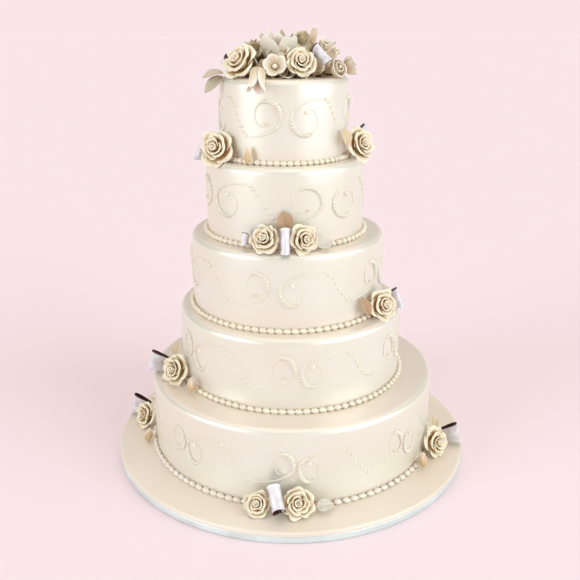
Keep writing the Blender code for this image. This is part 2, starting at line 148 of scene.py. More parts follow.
# Petal colours, from lip to foot; the foot tone is painted shade, darker where the petals overlap
PETAL_PARTS = {"lip": "Edge", "body": "Face", "deep": "Foot"}
PETAL_TONES = {
    "rose": ("Rose petal", (0.92, 0.83, 0.67), (0.83, 0.70, 0.48), (0.66, 0.45, 0.20)),
    "white": ("Blossom petal", (0.85, 0.80, 0.70), (0.79, 0.69, 0.52), (0.60, 0.44, 0.26)),
    "grey": ("Magnolia petal", (0.86, 0.79, 0.68), (0.76, 0.68, 0.56), (0.55, 0.46, 0.32)),
    # Olive petals: a tan tone, darkened by painted shade for petals deep in the bunch
    "shaded_olive": ("Shaded petal", (0.74, 0.65, 0.47), (0.58, 0.46, 0.28), (0.26, 0.18, 0.09)),
    # Low leaves: near-black tones, painted shade for the shadow round the foot of the top bunch
    "shade": ("Low leaf", (0.52, 0.40, 0.24), (0.30, 0.20, 0.10), (0.12, 0.07, 0.03)),
}

# Leaf colours: face, edge and veins
LEAF_TONES = {
    "tan": ((0.66, 0.50, 0.28), (0.76, 0.62, 0.40), (0.40, 0.27, 0.12)),
    "brown": ((0.42, 0.25, 0.13), (0.55, 0.36, 0.20), (0.28, 0.16, 0.08)),
    "frost": ((0.78, 0.70, 0.59), (0.65, 0.57, 0.46), (0.48, 0.39, 0.28)),
    "pale": ((0.62, 0.54, 0.41), (0.52, 0.44, 0.31), (0.34, 0.27, 0.16)),
}
CRYSTAL_WHITE = (0.95, 0.92, 0.90)

# Closed buds: tier, azimuth, out, up, radius, length, tilt
BUDS = {
    "bud_5_left": (5, -28.5, 12, 3, 4.5, 20, 108),
    "bud_2_left": (2, -52.5, 14, 2, 5.5, 22, 100),
    "bud_1_left": (1, -77.5, 14, 1, 5.5, 22, 100),
    "bud_1_right": (1, 57, 14, 3, 6, 22, 98),
}

# Top bunch: x and y from the tier's middle, base height, radius, length, azimuth, tilt
TOP_ROSES = {
    "top_rose_left": (-48, -35, 12, 22, 23, -42, 35),
    "top_rose_front": (20, -43, 15, 16.5, 20, 10, 25),
    "top_rose_back": (-24, 38, 10, 20, 22, 200, 45),
    "top_rose_back_right": (30, 38, 10, 19, 21, 150, 45),
}
TOP_BLOOMS = {
    "top_blossom_front": ("daisy", "white", -10, -48, 11.5, 13.5, 15, -4, 25),
    "top_blossom_right": ("cup", "white", 61, -31, 7, 11, 15, 45, 25),
    "top_blossom_edge": ("cup", "white", 76, -8, 9, 12, 17, 80, 20),
    "top_bell": ("bell", "white", -29, -80.5, 14.5, 10.5, 30, -20, -66),
    "top_magnolia": ("magnolia", "grey", -8, -8, 1, 22.5, 55, 0, 88),
    "top_bloom_left": ("tall", "shaded_olive", -36, 10, 1, 14, 42, -60, 84),
    "top_bloom_middle": ("tall", "shaded_olive", 25, 8, 1, 14, 54, 0, 90),
    "top_bloom_right": ("tall", "white", 53, 9, 1, 15, 44, 60, 86),
}
TOP_RIBBONS = {
    "top_ribbon_left": (-68, -10, 17, 20, 19, -80, 25, -68),
    "top_ribbon_right": (45, -38, 24, 21, 28, 25, 40, 28),
}
TOP_CURL = (37, -14, 40, 5, 24, 30, 84)
CURL_OVER = 0.6

# Small petals between the flowers of the top bunch and leaves round its foot: how many, and how far
# one swings round, its tilts, sizes, spreads, ruffle and line from base to lip
FILLERS = 72
FILLER_TURN = 2.4
FILLER_REACH, FILLER_HEIGHT = 56, 27
# Half the filling petals take the olive tones, painted shade in the gaps between the flowers
FILLER_COLOURS = ("shaded_olive", "rose", "shaded_olive", "white")
FILLER = (50, (15, 75), (9, 14.5), (55, 85), 0.12,
          ((0.1, 0), (0.5, 0.25), (0.75, 0.6), (0.9, 0.9), (1.1, 1.05)))
# Leaves round the foot of the bunch take the low leaf tones, painted shade where the flowers meet
# the top
FOOT_LEAVES = 60
FOOT_REACH_FRONT, FOOT_REACH_BACK = (34, 44), (46, 62)
FOOT_LEAF = (30, (20, 50), (9, 13), (80, 110), 0.1,
             ((0.1, 0), (0.5, 0.2), (0.75, 0.5), (0.9, 0.75), (1.05, 0.85)))

# Two leaves of the spray at the top left: base, tip and the way that the face looks, in mm
TOP_SPRAY = (((-75, -34, 6), (-101, -38, 1), (-10, -40, 100), 17),
             ((-76, -34, 1), (-99, -40, -17), (-60, -80, 30), 16))

# Petal layers, from the middle out: petals, spread, waist, shoulder, tuck, ruffle and the line
# from base to lip in shares of radius and depth
ROSE_LAYERS = (
    (3, 80, 1, 0.10, 0.16, 0.015,
     ((0.05, 0.4), (0.15, 0.62), (0.19, 0.82), (0.2, 0.93), (0.25, 0.97))),
    (3, 76, 0.9, 0.2, 0.17, 0.035,
     ((0.08, 0.2), (0.3, 0.5), (0.36, 0.72), (0.39, 0.85), (0.48, 0.91))),
    (4, 62, 0.8, 0.3, 0.16, 0.07,
     ((0.08, 0.1), (0.42, 0.34), (0.54, 0.58), (0.6, 0.72), (0.7, 0.79), (0.77, 0.74))),
    (5, 49, 0.65, 0.38, 0.12, 0.12,
     ((0.1, -0.02), (0.5, 0.12), (0.72, 0.32), (0.86, 0.46), (1.0, 0.53), (1.1, 0.46))),
)
BLOOM_LAYERS = {
    "daisy": (
        (5, 45, 0.4, 0.34, 0.03, 0.05,
         ((0.1, 0.14), (0.28, 0.24), (0.6, 0.5), (0.88, 0.78), (1.02, 0.84))),),
    "cup": (
        (3, 64, 0.8, 0.2, 0.08, 0.02,
         ((0.08, 0.05), (0.4, 0.25), (0.55, 0.6), (0.5, 0.85), (0.56, 0.95))),
        (4, 56, 0.7, 0.25, 0.06, 0.04,
         ((0.1, 0), (0.62, 0.16), (0.92, 0.5), (0.95, 0.78), (1.04, 0.86)))),
    "bell": (
        (4, 58, 0.9, 0.5, 0.08, 0.05,
         ((0.1, 0), (0.7, 0.1), (0.78, 0.4), (0.9, 0.7), (1.2, 0.98))),
        (3, 50, 0.9, 0.5, 0.08, 0.05,
         ((0.1, 0.02), (0.5, 0.15), (0.55, 0.4), (0.5, 0.7), (0.6, 0.9)))),
    "magnolia": (
        (3, 62, 0.6, 0.5, 0.1, 0.03,
         ((0.1, 0.1), (0.3, 0.4), (0.48, 0.68), (0.5, 0.88), (0.44, 0.99))),
        (5, 45, 0.6, 0.4, 0.1, 0.03,
         ((0.12, 0), (0.5, 0.24), (0.84, 0.48), (1.0, 0.72), (1.02, 0.94)))),
    "tall": (
        (3, 80, 1, 0.1, 0.16, 0.03,
         ((0.05, 0.5), (0.18, 0.7), (0.25, 0.85), (0.27, 0.93), (0.34, 0.97))),
        (4, 66, 0.8, 0.25, 0.16, 0.07,
         ((0.08, 0.2), (0.4, 0.5), (0.55, 0.72), (0.62, 0.86), (0.76, 0.92))),
        (5, 54, 0.65, 0.3, 0.12, 0.1,
         ((0.1, 0), (0.5, 0.3), (0.8, 0.56), (0.98, 0.72), (1.16, 0.73)))),
    "bud": (
        (3, 70, 1, 0.5, 0.12, 0.02,
         ((0.1, 0), (0.7, 0.22), (0.95, 0.5), (0.62, 0.8), (0.25, 1.0))),),
}
PETAL_THICKNESS = 0.7 * MM
LEAF_THICKNESS = 0.9 * MM
PETAL_CELLS = (10, 9)

# Rolled middle of a flower: reach, turns and where it starts, in shares of radius and depth
ROLL = (0.15, 1.7, 0.35)

# Sky in bands of height and from left to right, suns by azimuth, height, spread and power, camera
HORIZON, SKY_FROM = 0.11, 0.17
SKY = ((SKY_FROM, (0.28, 0.34, 0.36)), (0.45, (0.42, 0.44, 0.44)), (1, (1.5, 1.32, 1.26)))
SIDES = ((0.03, 0.65), (0.3, 1), (0.75, 1), (0.97, 0.8))
SUNS = {"light_left": (-58, 12, 38, 1.5), "light_right": (60, 13, 56, 2.25)}
SUN_COLOUR = (0.80, 1.0, 1.06)
CAMERA_PLACE = (-0.0018, -0.99933, 0.59645)
CAMERA_DOWN = 19.906
CAMERA_LENS = 46.464


def tier_foot(number):
    """Height of the surface that a tier stands on, counted from the board up."""
    return BOARD_THICKNESS + BOARD_ICING + GAP + sum(TIER_HEIGHT[:number - 1])


def beside_tier(number, azimuth, out, up):
    """A point beside a tier: degrees from the front to +X, out from its wall, up from its foot."""
    reach = TIER_RADIUS[number - 1] + out * MM
    angle = radians(azimuth)
    x = TIER_DRIFT[number - 1] + reach * sin(angle)
    return Vector((x, -reach * cos(angle), tier_foot(number) + up * MM))


def on_top(x, y, up):
    """A point over the top tier, from the middle of its top face, in millimetres."""
    return Vector((TIER_DRIFT[-1] + x * MM, y * MM, tier_foot(6) + up * MM))


def aim(azimuth, tilt):
    """Unit vector out of the cake at an azimuth and a tilt above the horizontal."""
    turn, rise = radians(azimuth), radians(tilt)
    return Vector((sin(turn) * cos(rise), -cos(turn) * cos(rise), sin(rise)))


def facing(location, direction, roll=0):
    """Place at a point with local Z along a direction and local Y upwards."""
    turn = direction.to_track_quat("Z", "Y") @ Quaternion((0, 0, 1), radians(roll))
    return move(location) @ turn.to_matrix().to_4x4()


def upright(location, azimuth, tilt, lean):
    """Place with local Y out of the cake and local Z upwards, leaning sideways by some degrees."""
    outward = aim(azimuth, tilt)
    upward = aim(azimuth, tilt + 90)
    upward.rotate(Quaternion(outward, radians(lean)))
    turn = Matrix((outward.cross(upward), outward, upward)).transposed()
    return move(location) @ turn.to_4x4()


# Shader graphs

def sums(operation):
    """Two methods: a sum of a wire and another value, and the other way round."""
    return (lambda wire, other: wire.graph.maths(operation, wire, other),
            lambda wire, other: wire.graph.maths(operation, other, wire))


class Wire:
    """A value in a shader, which can be used in Python sums."""

    __add__, __radd__ = sums("ADD")
    __sub__, __rsub__ = sums("SUBTRACT")
    __mul__, __rmul__ = sums("MULTIPLY")

    def __init__(self, graph, socket):
        self.graph = graph
        self.socket = socket


class Graph:
    """The nodes of a material, or of the world, made one call at a time."""

    def __init__(self, name, kind="materials", shader="Principled BSDF"):
        self.owner = getattr(bpy.data, kind).new(name)
        self.owner.use_nodes = True
        self.tree = self.owner.node_tree
        self.shader = self.tree.nodes[shader]

    def feed(self, socket, value):
        """Link a wire to a socket, or set the socket's own number or colour."""
        if isinstance(value, Wire):
            self.tree.links.new(value.socket, socket)
        else:
            socket.default_value = (*value, 1) if socket.type == "RGBA" else value

    def add(self, kind, values, output=0, **settings):
        """A node of a type, with the values of its sockets and its settings."""
        node = self.tree.nodes.new(kind)
        for name, value in settings.items():
            setattr(node, name, value)
        for name, value in values.items():
            self.feed(node.inputs[name], value)
        return Wire(self, node.outputs[output])

    def maths(self, operation, *values):
        """An operation on one or two values."""
        return self.add("ShaderNodeMath", dict(enumerate(values)), operation=operation)

    def uv(self):
        """Across and along a sheet, from its own UV map."""
        coordinates = self.add("ShaderNodeUVMap", {}, uv_map="UVMap")
        return [self.add("ShaderNodeSeparateXYZ", {0: coordinates}, axis) for axis in (0, 1)]

    def texture(self, kind, vector=None, **values):
        """A texture on Object coordinates, or on a vector."""
        vector = vector or self.add("ShaderNodeTexCoord", {}, 3)
        return self.add(f"ShaderNodeTex{kind}", {"Vector": vector, **values})

    def noise(self, scale, detail=3, vector=None):
        """Noise from 0 to 1."""
        return self.texture("Noise", vector, Scale=scale, Detail=detail)

    def ramp(self, value, *stops):
        """A ramp from (place, shade) stops, each shade a grey or a colour."""
        wire = self.add("ShaderNodeValToRGB", {0: value})
        elements = wire.socket.node.color_ramp.elements
        for place, shade in stops[2:]:
            elements.new(place)
        for element, (place, shade) in zip(elements, stops):
            element.position = place
            element.color = (*(shade if isinstance(shade, tuple) else (shade,) * 3), 1)
        return wire

    def mix(self, share, first, second, blend="MIX"):
        """Blend of two colours."""
        return self.add("ShaderNodeMix", {0: share, 6: first, 7: second}, 2, data_type="RGBA",
                        blend_type=blend)

    def finish(self, **values):
        """Feed the shader's sockets by name, with underscores for spaces."""
        for name, value in values.items():
            self.feed(self.shader.inputs[name.replace("_", " ")], value)
        return self.owner

    def bump(self, height, strength, distance):
        """Feed the shader's normal from a height."""
        values = {"Height": height, "Strength": strength, "Distance": distance}
        self.finish(Normal=self.add("ShaderNodeBump", values))


def lit(shade, gain):
    """A colour, lightened or darkened."""
    return tuple(channel * gain for channel in shade)


def pearl_fondant(name, shade, beige, painted_shade_tone):
    """Sugar paste with pearl lustre in warm patches and faintly dented, with painted shade on the
    ledges and at the feet of the walls.
    """
    graph = Graph(name)
    tint = graph.mix(graph.ramp(graph.noise(9, 2), (0.3, 0), (0.75, 1)), shade, beige)
    ledge_and_foot_shade = graph.add("ShaderNodeAttribute", {}, 2, attribute_name="ledge_and_foot_shade")
    graph.bump(graph.noise(26, 2) * 0.8 + graph.noise(420, 4) * 0.05, 0.35, 0.0012)
    rough = 0.3 + 0.1 * graph.noise(60, 3)
    return graph.finish(Base_Color=graph.mix(ledge_and_foot_shade, tint, painted_shade_tone), Roughness=rough, Metallic=0.4,
                        Specular_IOR_Level=0.3)


def piped_icing(name, shade):
    """Royal icing with pearl lustre: smooth, a touch glossier than the wall behind it."""
    graph = Graph(name)
    tint = graph.mix(graph.noise(160, 2), lit(shade, 0.93), lit(shade, 1.05))
    graph.bump(graph.noise(900, 2), 0.2, 0.0003)
    return graph.finish(Base_Color=tint, Roughness=0.34, Metallic=0.1, Coat_Weight=0.2,
                        Coat_Roughness=0.3, Subsurface_Weight=0.25,
                        Subsurface_Radius=(1.0, 0.7, 0.4), Subsurface_Scale=0.002)


def sugar_petal(name, lip, body, deep):
    """Petal paste: pale along the lip, with painted shade darkening it towards the base, and faint
    streaks.
    """
    graph = Graph(name)
    across, along = graph.uv()
    vein = graph.noise(1.0, 2, graph.add("ShaderNodeCombineXYZ", {0: across * 26, 1: along * 1.5}))
    patches = graph.noise(120, 2)
    height = along + 0.16 * (patches - 0.5)
    # Painted shade: each petal darkens to its foot tone towards its base, where the petals overlap
    tint = graph.mix(graph.ramp(height, (0.18, 0), (0.72, 1)), deep, body)
    tint = graph.mix(graph.ramp(height, (0.7, 0), (0.98, 1)), tint, lip)
    graph.bump(vein * 0.7 + graph.noise(700, 2) * 0.3, 0.3, 0.0004)
    return graph.finish(Base_Color=tint, Roughness=0.42 + 0.12 * patches, Specular_IOR_Level=0.35,
                        Subsurface_Weight=0.2, Subsurface_Radius=(1.0, 0.6, 0.3),
                        Subsurface_Scale=0.0015)


def sugar_leaf(name, face, edge, vein, frosted=False):
    """Leaf paste: a pressed midrib and side veins, or frosted with sugar crystals."""
    graph = Graph(name)
    across, along = graph.uv()
    side = graph.maths("ABSOLUTE", across - 0.5)
    ribs = graph.maths("SINE", (along - side * 1.1) * 46)
    mark = graph.maths("MAXIMUM", graph.ramp(side, (0.0, 1), (0.05, 0)),
                       graph.ramp(ribs, (0.72, 0), (1.0, 1)) * 0.5)
    tint = graph.mix(mark * 0.55, graph.mix(graph.noise(140, 3), face, edge), vein)
    if frosted:
        crystal = graph.texture("Voronoi", Scale=900.0)
        tint = graph.mix(graph.ramp(crystal, (0.2, 0.85), (0.45, 0)), tint, CRYSTAL_WHITE)
        graph.bump(crystal, 0.9, 0.0008)
        return graph.finish(Base_Color=tint, Roughness=0.22, Coat_Weight=0.5, Coat_Roughness=0.1)
    graph.bump(0.5 - mark, 0.5, 0.0006)
    return graph.finish(Base_Color=tint, Roughness=0.5)


def satin(name, shade, band_shade, edge, roughness):
    """Ribbon with fine threads along its length, painted sheen in soft light and dark bands, and a
    band of painted shade along its upper edge.
    """
    graph = Graph(name)
    across, along = graph.uv()
    bands = graph.noise(1.0, 3, graph.add("ShaderNodeCombineXYZ", {0: across * 3, 1: along * 9}))
    # Painted sheen: soft light and dark bands along the satin
    tint = graph.mix(graph.ramp(bands, (0.35, 0), (0.7, 1)), band_shade, shade)
    # Painted shade: a dark band along the upper edge, in the tone of the loop's inside
    tint = graph.mix(graph.ramp(across, (0.93, 0), (0.945, 1)), tint, edge)
    graph.bump(graph.maths("SINE", along * 260) * 0.5 + bands, 0.25, 0.0003)
    return graph.finish(Base_Color=tint, Roughness=roughness, Metallic=0.1)


def board_paste(name, shade, beige):
    """Icing on the board: rolled flat, warmer than the tiers, with faint ripples."""
    graph = Graph(name)
    tint = graph.mix(graph.ramp(graph.noise(7, 3), (0.3, 0), (0.7, 1)), shade, beige)
    graph.bump(graph.noise(30, 3) + graph.noise(500, 2) * 0.08, 0.3, 0.0012)
    return graph.finish(Base_Color=tint, Roughness=0.38 + 0.12 * graph.noise(40, 2), Metallic=0.12,
                        Coat_Weight=0.15, Coat_Roughness=0.4)


def board_wrap(name, shade):
    """Silver-white board paper: an embossed weave and creases where it is folded round the edge."""
    graph = Graph(name)
    folds = graph.noise(34, 4)
    tint = graph.mix(graph.ramp(folds, (0.35, 0), (0.65, 1)), lit(shade, 0.9), lit(shade, 1.04))
    graph.bump(folds * 1.2 + graph.texture("Voronoi", Scale=520.0) * 0.15, 0.6, 0.002)
    return graph.finish(Base_Color=tint, Roughness=0.33, Metallic=0.35)


# Mesh work

def mode(name):
    """Go into object or edit mode."""
    bpy.ops.object.mode_set(mode=name)


def pick(*pieces):
    """Select these pieces alone and make the first one active, for the next operator."""
    if bpy.context.object and bpy.context.object.mode != "OBJECT":
        mode("OBJECT")
    bpy.ops.object.select_all(action="DESELECT")
    for piece in pieces:
        piece.select_set(True)
    if pieces:
        bpy.context.view_layer.objects.active = pieces[0]


def apply_modifier(piece, kind, **settings):
    """Add a modifier, set it and apply it."""
    bpy.context.view_layer.objects.active = piece
    modifier = piece.modifiers.new(kind.title(), kind)
    for name, value in settings.items():
        setattr(modifier, name, value)
    bpy.ops.object.modifier_apply(modifier=modifier.name)


def settle(piece, name, materials, node=None, smooth=60):
    """Name a finished piece, bring its place into its mesh and let it ride on the cake."""
    pick(piece)
    bpy.ops.object.transform_apply(location=True, rotation=True, scale=True)
    bpy.ops.object.shade_smooth_by_angle(angle=radians(smooth))
    piece.name = piece.data.name = name
    piece.data.materials.clear()
    for material in materials:
        piece.data.materials.append(material)
    if node:
        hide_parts(node)
    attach(piece, "root")
    return piece


def join(parts):
    """Join several new objects into the first one."""
    pick(*parts)
    if len(parts) > 1:
        bpy.ops.object.join()
    return parts[0]


def twin(master, place=None):
    """A copy of an object with its own mesh, moved to a place."""
    piece = bpy.data.objects.new(master.name, master.data.copy())
    bpy.context.scene.collection.objects.link(piece)
    if place is not None:
        piece.data.transform(place)
    return piece


def discard(*masters):
    """Remove the objects from which others were copied."""
    for master in masters:
        bpy.data.objects.remove(master)


def flat_sheet(across, along):
    """A flat grid from -1 to 1, from which petals, leaves and ribbons are shaped."""
    pick()
    bpy.ops.mesh.primitive_grid_add(x_subdivisions=across, y_subdivisions=along, size=2)
    return bpy.context.object


def ball(segments, rings):
    """A round ball of radius 1, from which beads and drops are shaped."""
    pick()
    bpy.ops.mesh.primitive_uv_sphere_add(segments=segments, ring_count=rings, radius=1)
    return bpy.context.object


def cylinder(radius, foot, height, x=0):
    """An upright cylinder that stands on a height."""
    pick()
    bpy.ops.mesh.primitive_cylinder_add(vertices=ROUND_SIDES, radius=radius, depth=height,
                                        location=(x, 0, foot + height / 2))
    return bpy.context.object


def round_rim(piece, width, segments):
    """Round the upper edge of a cylinder, which stays in edit mode."""
    mode("EDIT")
    bpy.ops.mesh.select_mode(type="FACE")
    bpy.ops.mesh.select_all(action="DESELECT")
    mode("OBJECT")
    for face in piece.data.polygons:
        face.select = face.normal.z > 0.9
    mode("EDIT")
    bpy.ops.mesh.bevel(offset=width, offset_type="WIDTH", segments=segments, affect="EDGES")


def points_of(piece):
    """A mesh's points as an array."""
    points = np.empty(len(piece.data.vertices) * 3)
    piece.data.vertices.foreach_get("co", points)
    return points.reshape(-1, 3)


def put_points(piece, points):
    """Move a mesh's points."""
    piece.data.vertices.foreach_set("co", np.ascontiguousarray(points, dtype=float).ravel())
    piece.data.update()


def shape(piece, rule):
    """Move a sheet's points by a rule of u from -1 to 1 across and v from 0 to 1 along."""
    points = points_of(piece)
    put_points(piece, np.stack(rule(points[:, 0], (points[:, 1] + 1) / 2), axis=1))
    return piece


def smooth_line(guide, share):
    """Points of a smooth line through a few pairs, at shares of its length from 0 to 1."""
    guide = np.array(guide, float)
    guide = np.vstack([2 * guide[0] - guide[1], guide, 2 * guide[-1] - guide[-2]])
    spans = len(guide) - 3
    place = np.clip(share * spans, 0, spans - 1e-6)
    first = place.astype(int)
    part = (place - first)[:, None]
    a, b, c, d = (guide[first + step] for step in range(4))
    bend = 2 * a - 5 * b + 4 * c - d + part * (3 * (b - c) + d - a)
    return b + 0.5 * part * (c - a + part * bend)


def petal_rule(turn, spread, waist, shoulder, tuck, ruffle, line, waves, phase):
    """Rule of one petal round +Z, in shares of the flower's radius and depth."""
    def rule(u, v):
        share = v * (1 - shoulder * np.abs(u) ** 2.4)
        reach, rise = smooth_line(line, share).T
        widening = waist + (1 - waist) * np.sin(pi / 2 * np.minimum(1, share / 0.6))
        angle = radians(turn) + radians(spread) * u * widening
        wave = np.clip((share - 0.45) / 0.55, 0, 1) ** 1.5 * np.sin(waves * pi * u + phase)
        reach = reach * (1 + tuck * u) + ruffle * wave * 0.7
        rise = rise + ruffle * wave
        return reach * np.sin(angle), -reach * np.cos(angle), rise
    return rule


def spiral_rule(reach, turns, foot, phase):
    """Rule of a rolled middle: a sheet wound into a tight cone."""
    def rule(u, v):
        round_it = (u + 1) / 2
        angle = phase + turns * 2 * pi * round_it
        out = (0.012 + reach * round_it) * (0.75 + 0.25 * v + 0.12 * v ** 6)
        return out * np.sin(angle), -out * np.cos(angle), foot + (1.0 - foot - 0.06 * round_it) * v
    return rule


def petals(sheet, layers, rng, opening=1.0, spiral=None):
    """Petals of one flower, joined: a rolled middle and its layers, in shares of its size."""
    parts = []
    if spiral:
        parts.append(shape(twin(spiral), spiral_rule(*ROLL, rng.uniform(0, 2 * pi))))
    start = rng.uniform(0, 360)
    for depth, (count, spread, waist, shoulder, tuck, ruffle, line) in enumerate(layers):
        for number in range(count):
            turn = start + 360 / count * number + rng.uniform(-11, 11)
            grow = 1 + (opening - 1) * depth / len(layers) + rng.uniform(-0.07, 0.05)
            lift = 1 + rng.uniform(-0.06, 0.06)
            droop = rng.uniform(0, 0.1) * (depth + 1) / len(layers)
            grown = [(reach * grow, rise * lift) for reach, rise in line]
            grown[-1] = (grown[-1][0] * (1 + droop / 2), grown[-1][1] - droop)
            rule = petal_rule(turn, spread * rng.uniform(0.93, 1.08), waist, shoulder, tuck,
                              ruffle * rng.uniform(0.6, 1.4), grown, rng.choice((1.2, 1.7, 2.2)),
                              rng.uniform(0, 2 * pi))
            parts.append(shape(twin(sheet), rule))
        start += 180 / count + rng.uniform(-12, 12)
    return join(parts)


def finish_sheet(piece, thickness=PETAL_THICKNESS, **settings):
    """Give a thin piece its thickness."""
    apply_modifier(piece, "SOLIDIFY", thickness=thickness, offset=0, **settings)
    return piece


def stretch(x, y, z):
    """Scale along the three axes."""
    return Matrix.Diagonal((x, y, z, 1))


# What a user may change

def metres(name, description, default):
    """A length property."""
    return bpy.props.FloatProperty(
        name=name, description=description, default=default, unit="LENGTH")


class CakeSizes(bpy.types.PropertyGroup):
    """Sizes of the icing work."""

    rim: metres("Rim radius", "Rounding of each tier's upper edge", 0.012)
    bead: metres("Bead height", "Height of one piped bead", 0.0076)
    line: metres("Scroll width", "Width of a scroll at its widest", 0.0052)
    loop: metres("Loop opening", "Half the opening of a ribbon loop", 0.0056)
    dents: metres("Unevenness", "How far a tier's wall swells and dips", 0.0012)
    seed: bpy.props.IntProperty(
        name="Seed", description="Start of the small differences between flowers", default=7)


def tone(name, description, default):
    """A colour property."""
    return bpy.props.FloatVectorProperty(
        name=name, description=description, default=default, subtype="COLOR", size=3, min=0, max=1)


class CakeColours(bpy.types.PropertyGroup):
    """Colours of the icing work."""

    fondant: tone("Fondant", "Ivory of the tiers", (0.83, 0.795, 0.70))
    fondant_warm: tone("Fondant patches", "Warmer ivory in soft patches", (0.80, 0.755, 0.625))
    # Painted shade: a warm beige for the ledges and the feet of the walls, where the tier above and
    # the beads shade them
    fondant_painted_shade: tone("Bare fondant", "Ledges and feet of the walls", (0.845, 0.75, 0.64))
    piping: tone("Piping", "Piped scrolls", (0.82, 0.745, 0.61))
    beads: tone("Beads", "Piped beads", (0.82, 0.735, 0.59))
    board: tone("Board icing", "Icing on the board", (0.82, 0.74, 0.63))
    board_warm: tone("Board icing patches", "Warmer patches on the board", (0.77, 0.67, 0.54))
    wrap: tone("Board paper", "Paper round the board", (0.72, 0.79, 0.76))
    bud: tone("Bud", "Orange tan of a closed bud", (0.70, 0.50, 0.33))
    ribbon: tone("Ribbon", "Outside of a loop", (0.84, 0.82, 0.84))
    # Painted sheen: the darker tone of the bands along a loop
    ribbon_sheen_shade: tone("Ribbon bands", "Shaded bands of a loop", (0.62, 0.56, 0.57))
    # Painted shade: the near-black tone inside a loop, also used for the band along its upper edge
    ribbon_inside_shade: tone("Ribbon inside", "Inside of a loop", (0.085, 0.032, 0.032))
    floor: tone("Floor", "Pale floor", (0.873, 0.735, 0.763))
    backdrop: tone("Backdrop", "Backdrop behind the floor", (0.965, 0.783, 0.807))
    __annotations__ |= {
        f"{family}_{part}": tone(f"{label} {part}", f"{where} of a {label.lower()}", shade)
        for family, (label, *shades) in PETAL_TONES.items()
        for (part, where), shade in zip(PETAL_PARTS.items(), shades)}


def petal_finish(colours, family):
    """The petal material of a colour family."""
    shades = [getattr(colours, f"{family}_{part}") for part in PETAL_PARTS]
    return sugar_petal(f"petal_{family}", *shades)


def chosen(context):
    """The sizes and colours set in the panel."""
    return context.scene.cake_sizes, context.scene.cake_colours


class CAKE_OT_board(bpy.types.Operator):
    """Build the wrapped board and the icing on it"""

    bl_idname = "cake.board"
    bl_label = "Board"

    def execute(self, context):
        _, colours = chosen(context)
        drum = cylinder(BOARD_RADIUS - 0.6 * MM, 0, BOARD_THICKNESS)
        apply_modifier(drum, "BEVEL", width=1.6 * MM, segments=3, limit_method="ANGLE",
                       angle_limit=radians(60))
        settle(drum, "board_drum", [board_wrap("board_paper", colours.wrap)],
               "board", smooth=40)
        icing = cylinder(BOARD_RADIUS - 0.3 * MM, BOARD_THICKNESS, BOARD_ICING)
        round_rim(icing, 4 * MM, 5)
        mode("OBJECT")
        settle(icing, "board_top", [board_paste("board_paste", colours.board, colours.board_warm)],
               "board_icing", smooth=40)
        return {"FINISHED"}


class CAKE_OT_tiers(bpy.types.Operator):
    """Build the five iced tiers with their rounded rims"""

    bl_idname = "cake.tiers"
    bl_label = "Tiers"

    def execute(self, context):
        sizes, colours = chosen(context)
        finish = pearl_fondant("pearl_fondant", colours.fondant, colours.fondant_warm,
                               colours.fondant_painted_shade)
        clouds = bpy.data.textures.new("icing_dents", "CLOUDS")
        clouds.noise_scale = 0.07
        for number in range(1, 6):
            foot, height = tier_foot(number), TIER_HEIGHT[number - 1] - GAP
            tier = cylinder(TIER_RADIUS[number - 1], foot, height, TIER_DRIFT[number - 1])
            round_rim(tier, sizes.rim, RIM_STEPS)
            bpy.ops.mesh.select_all(action="SELECT")
            for step in range(1, WALL_RINGS):
                level = foot + (height - sizes.rim) * step / WALL_RINGS
                bpy.ops.mesh.bisect(plane_co=(0, 0, level), plane_no=(0, 0, 1))
                bpy.ops.mesh.select_all(action="SELECT")
            mode("OBJECT")
            pick(tier)
            bpy.ops.object.transform_apply(location=True)
            apply_modifier(tier, "DISPLACE", texture=clouds, strength=sizes.dents, mid_level=0.5,
                           texture_coords="LOCAL")
            # Painted shade: a share from 0 to 1 that turns the fondant to its shade tone on the
            # ledge at the top and towards the foot of the wall
            up = points_of(tier)[:, 2] - foot
            ledge = 1 - (height - up) / (sizes.rim / 4)
            ledge_and_foot_shade = np.maximum(ledge, 0.9 * (1 - up / (2 * sizes.rim)))
            attribute = tier.data.attributes.new("ledge_and_foot_shade", "FLOAT", "POINT")
            attribute.data.foreach_set("value", np.clip(ledge_and_foot_shade, 0, 1))
            settle(tier, f"fondant_{number}", [finish], f"tier_{number}")
        return {"FINISHED"}


def scroll_half(length, head):
    """Arch and curled head of a scroll's left half as rows of along, up and half width."""
    half, arch = SCROLL_HALF_HEIGHT, ARCH_REACH * length
    share = np.linspace(0, 1, STROKE_STEPS)
    angle = pi / 2 * (1 + share)
    rows = [arch + arch * np.cos(angle), half * np.sin(angle), 0.3 + 0.4 * share ** 1.6]
    share = np.linspace(0, 1, 3 * STROKE_STEPS)[1:]
    angle = pi * (1 + CURL_TURNS * share)
    shrink = 1 - CURL_SHRINK * share ** CURL_EASE
    curl = [head * (1 + shrink * np.cos(angle)), half * shrink * np.sin(angle),
            np.interp(share, CURL_SHARES, CURL_WIDTHS)]
    return np.hstack([rows, curl]).T


